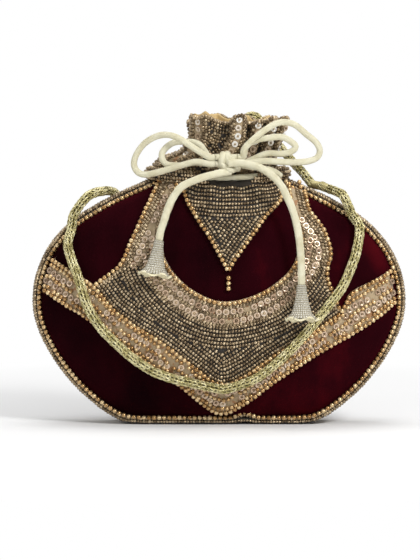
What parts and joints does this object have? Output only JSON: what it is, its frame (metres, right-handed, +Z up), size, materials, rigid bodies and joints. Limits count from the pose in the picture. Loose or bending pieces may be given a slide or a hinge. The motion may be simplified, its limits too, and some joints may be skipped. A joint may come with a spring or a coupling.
{
  "type": "potli bag",
  "caption": "Gathered evening pouch of maroon velvet with beaded panels, beaded border, cord bow with two tassels and two knitted handles.",
  "frame": {"origin": "middle of the bag's footprint box on the surface it stands on", "axes": "+Z up, the beaded front faces -Y, +X to the right seen from the front"},
  "size_m": [0.2398, 0.0977, 0.199],
  "materials": {
    "velvet": "matte",
    "seed_beads": "gloss",
    "gold_beads": "gloss",
    "tissue": "satin",
    "lining": "satin",
    "satin_cord": "satin",
    "knit_cord": "satin",
    "tassel_weave": "satin"
  },
  "bodies": {
    "root": {"front_panel": "velvet", "back_panel": "velvet", "lining_pouch": "lining", "frill_lining": "lining", "neck_frill": "seed_beads", "beaded_border": "seed_beads", "v_band": "tissue", "yoke_collar": "seed_beads", "centre_triangle": "seed_beads", "bead_drop": "gold_beads", "front_handle": "knit_cord", "back_handle": "knit_cord", "neck_ring": "satin_cord", "bow_knot": "satin_cord", "loop_left_outer": "satin_cord", "loop_left_inner": "satin_cord", "loop_right_outer": "satin_cord", "loop_right_inner": "satin_cord", "tail_left": "satin_cord", "tail_right": "satin_cord", "tassel_left": "tassel_weave", "tassel_right": "tassel_weave"}
  },
  "joints": []
}
